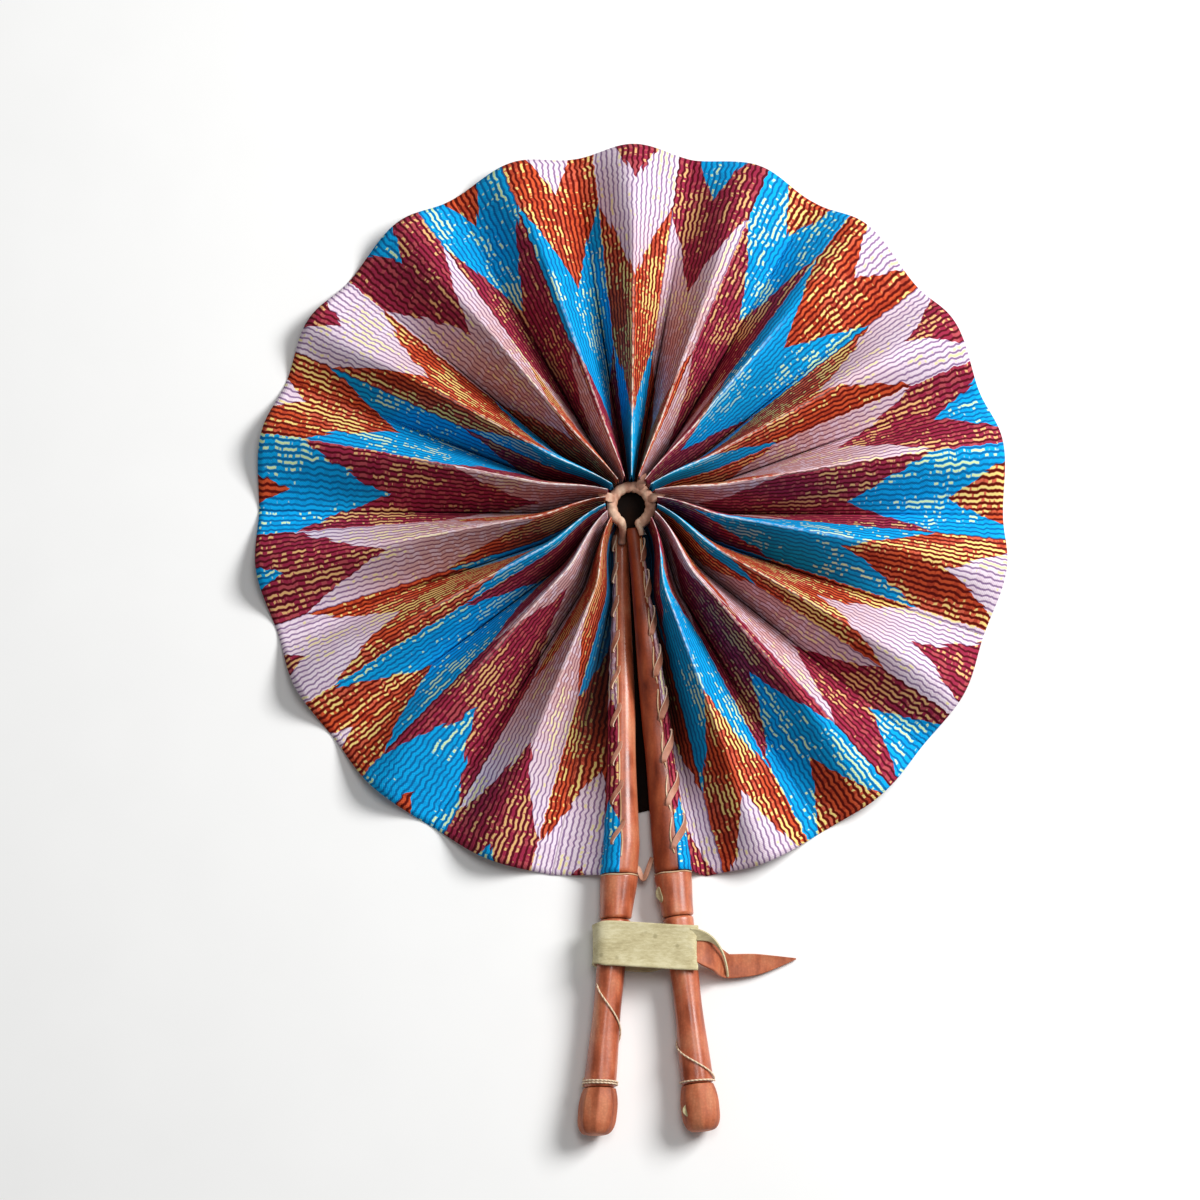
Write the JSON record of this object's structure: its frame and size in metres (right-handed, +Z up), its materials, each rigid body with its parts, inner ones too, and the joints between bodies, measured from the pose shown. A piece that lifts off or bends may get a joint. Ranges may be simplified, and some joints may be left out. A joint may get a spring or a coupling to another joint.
{
  "type": "leather folding fan",
  "caption": "Round hand fan: a pleated printed-cloth leaf between two leather-bound sticks that swing right round to fold it, held open by a leather strap on the grips.",
  "frame": {"origin": "on the ground under the middle of the open fan's box; the hub axis is 45 mm from it toward +Y", "axes": "the fan lies on its back: +Z up through the leaf, handles toward -Y, +X to the right as seen from above"},
  "size_m": [0.273, 0.3628, 0.0255],
  "materials": {
    "stick_wood": "bare whittled wood, hidden under leather",
    "handle_leather": "smooth vegetable-tanned goat leather, reddish brown, satin",
    "lacing_thong": "cut leather thong, pale tan, matt",
    "binding_cord": "thin pale waxed cord",
    "strap_leather": "leather strip with its pale flesh side out",
    "printed_cloth": "cotton wax print in blue, wine red, orange and lilac white, matt"
  },
  "bodies": {
    "left_handle": {"left_stick": "stick_wood", "left_sheath": "handle_leather", "left_collar": "handle_leather", "left_grip_sleeve": "handle_leather", "left_knob": "handle_leather", "left_leaf_end": "printed_cloth", "left_lacing": "lacing_thong", "left_binding": "binding_cord", "hub_ring": "lacing_thong", "hub_tie_1": "lacing_thong", "hub_tie_2": "lacing_thong", "hub_tie_3": "lacing_thong", "tail_lace": "lacing_thong"},
    "right_handle": {"right_stick": "stick_wood", "right_sheath": "handle_leather", "right_collar": "handle_leather", "right_grip_sleeve": "handle_leather", "right_knob": "handle_leather", "right_leaf_end": "printed_cloth", "right_lacing": "lacing_thong", "right_binding": "binding_cord"},
    "pleat_01": {"pleat_01": "printed_cloth"},
    "pleat_02": {"pleat_02": "printed_cloth"},
    "pleat_03": {"pleat_03": "printed_cloth"},
    "pleat_04": {"pleat_04": "printed_cloth"},
    "pleat_05": {"pleat_05": "printed_cloth"},
    "pleat_06": {"pleat_06": "printed_cloth"},
    "pleat_07": {"pleat_07": "printed_cloth"},
    "pleat_08": {"pleat_08": "printed_cloth"},
    "pleat_09": {"pleat_09": "printed_cloth"},
    "pleat_10": {"pleat_10": "printed_cloth"},
    "pleat_11": {"pleat_11": "printed_cloth"},
    "pleat_12": {"pleat_12": "printed_cloth"},
    "pleat_13": {"pleat_13": "printed_cloth"},
    "pleat_14": {"pleat_14": "printed_cloth"},
    "pleat_15": {"pleat_15": "printed_cloth"},
    "pleat_16": {"pleat_16": "printed_cloth"},
    "pleat_17": {"pleat_17": "printed_cloth"},
    "strap": {"strap": "strap_leather"}
  },
  "joints": [
    {"name": "fan_fold", "type": "hinge", "parent": "left_handle", "child": "right_handle", "pos_m": [-0.00001, 0.04495, 0], "axis": [0, 0, 1], "range_deg": [0, 333], "deforming": ["pleat_01", "pleat_02", "pleat_03", "pleat_04", "pleat_05", "pleat_06", "pleat_07", "pleat_08", "pleat_09", "pleat_10", "pleat_11", "pleat_12", "pleat_13", "pleat_14", "pleat_15", "pleat_16", "pleat_17", "left_leaf_end", "right_leaf_end"]},
    {"name": "pleat_01_turn", "type": "hinge", "parent": "left_handle", "child": "pleat_01", "pos_m": [-0.00001, 0.04495, 0], "axis": [0, 0, 1], "range_deg": [0, 322.04]},
    {"name": "pleat_02_turn", "type": "hinge", "parent": "left_handle", "child": "pleat_02", "pos_m": [-0.00001, 0.04495, 0], "axis": [0, 0, 1], "range_deg": [0, 302.98]},
    {"name": "pleat_03_turn", "type": "hinge", "parent": "left_handle", "child": "pleat_03", "pos_m": [-0.00001, 0.04495, 0], "axis": [0, 0, 1], "range_deg": [0, 283.92]},
    {"name": "pleat_04_turn", "type": "hinge", "parent": "left_handle", "child": "pleat_04", "pos_m": [-0.00001, 0.04495, 0], "axis": [0, 0, 1], "range_deg": [0, 264.86]},
    {"name": "pleat_05_turn", "type": "hinge", "parent": "left_handle", "child": "pleat_05", "pos_m": [-0.00001, 0.04495, 0], "axis": [0, 0, 1], "range_deg": [0, 245.8]},
    {"name": "pleat_06_turn", "type": "hinge", "parent": "left_handle", "child": "pleat_06", "pos_m": [-0.00001, 0.04495, 0], "axis": [0, 0, 1], "range_deg": [0, 226.74]},
    {"name": "pleat_07_turn", "type": "hinge", "parent": "left_handle", "child": "pleat_07", "pos_m": [-0.00001, 0.04495, 0], "axis": [0, 0, 1], "range_deg": [0, 207.68]},
    {"name": "pleat_08_turn", "type": "hinge", "parent": "left_handle", "child": "pleat_08", "pos_m": [-0.00001, 0.04495, 0], "axis": [0, 0, 1], "range_deg": [0, 188.62]},
    {"name": "pleat_09_turn", "type": "hinge", "parent": "left_handle", "child": "pleat_09", "pos_m": [-0.00001, 0.04495, 0], "axis": [0, 0, 1], "range_deg": [0, 169.55]},
    {"name": "pleat_10_turn", "type": "hinge", "parent": "left_handle", "child": "pleat_10", "pos_m": [-0.00001, 0.04495, 0], "axis": [0, 0, 1], "range_deg": [0, 150.49]},
    {"name": "pleat_11_turn", "type": "hinge", "parent": "left_handle", "child": "pleat_11", "pos_m": [-0.00001, 0.04495, 0], "axis": [0, 0, 1], "range_deg": [0, 131.43]},
    {"name": "pleat_12_turn", "type": "hinge", "parent": "left_handle", "child": "pleat_12", "pos_m": [-0.00001, 0.04495, 0], "axis": [0, 0, 1], "range_deg": [0, 112.37]},
    {"name": "pleat_13_turn", "type": "hinge", "parent": "left_handle", "child": "pleat_13", "pos_m": [-0.00001, 0.04495, 0], "axis": [0, 0, 1], "range_deg": [0, 93.31]},
    {"name": "pleat_14_turn", "type": "hinge", "parent": "left_handle", "child": "pleat_14", "pos_m": [-0.00001, 0.04495, 0], "axis": [0, 0, 1], "range_deg": [0, 74.25]},
    {"name": "pleat_15_turn", "type": "hinge", "parent": "left_handle", "child": "pleat_15", "pos_m": [-0.00001, 0.04495, 0], "axis": [0, 0, 1], "range_deg": [0, 55.19]},
    {"name": "pleat_16_turn", "type": "hinge", "parent": "left_handle", "child": "pleat_16", "pos_m": [-0.00001, 0.04495, 0], "axis": [0, 0, 1], "range_deg": [0, 36.13]},
    {"name": "pleat_17_turn", "type": "hinge", "parent": "left_handle", "child": "pleat_17", "pos_m": [-0.00001, 0.04495, 0], "axis": [0, 0, 1], "range_deg": [0, 17.07]},
    {"name": "strap_release", "type": "slide", "parent": "left_handle", "child": "strap", "axis": [0, -1, 0], "range_m": [0, 0.085], "deforming": ["strap"]}
  ],
  "couplings": [
    {"joint": "pleat_01_turn", "follows": "fan_fold", "ratio": 0.96559},
    {"joint": "pleat_02_turn", "follows": "fan_fold", "ratio": 0.90835},
    {"joint": "pleat_03_turn", "follows": "fan_fold", "ratio": 0.85111},
    {"joint": "pleat_04_turn", "follows": "fan_fold", "ratio": 0.79387},
    {"joint": "pleat_05_turn", "follows": "fan_fold", "ratio": 0.73663},
    {"joint": "pleat_06_turn", "follows": "fan_fold", "ratio": 0.67939},
    {"joint": "pleat_07_turn", "follows": "fan_fold", "ratio": 0.62215},
    {"joint": "pleat_08_turn", "follows": "fan_fold", "ratio": 0.56491},
    {"joint": "pleat_09_turn", "follows": "fan_fold", "ratio": 0.50767},
    {"joint": "pleat_10_turn", "follows": "fan_fold", "ratio": 0.45043},
    {"joint": "pleat_11_turn", "follows": "fan_fold", "ratio": 0.39319},
    {"joint": "pleat_12_turn", "follows": "fan_fold", "ratio": 0.33595},
    {"joint": "pleat_13_turn", "follows": "fan_fold", "ratio": 0.27871},
    {"joint": "pleat_14_turn", "follows": "fan_fold", "ratio": 0.22147},
    {"joint": "pleat_15_turn", "follows": "fan_fold", "ratio": 0.16423},
    {"joint": "pleat_16_turn", "follows": "fan_fold", "ratio": 0.10699},
    {"joint": "pleat_17_turn", "follows": "fan_fold", "ratio": 0.04975}
  ]
}
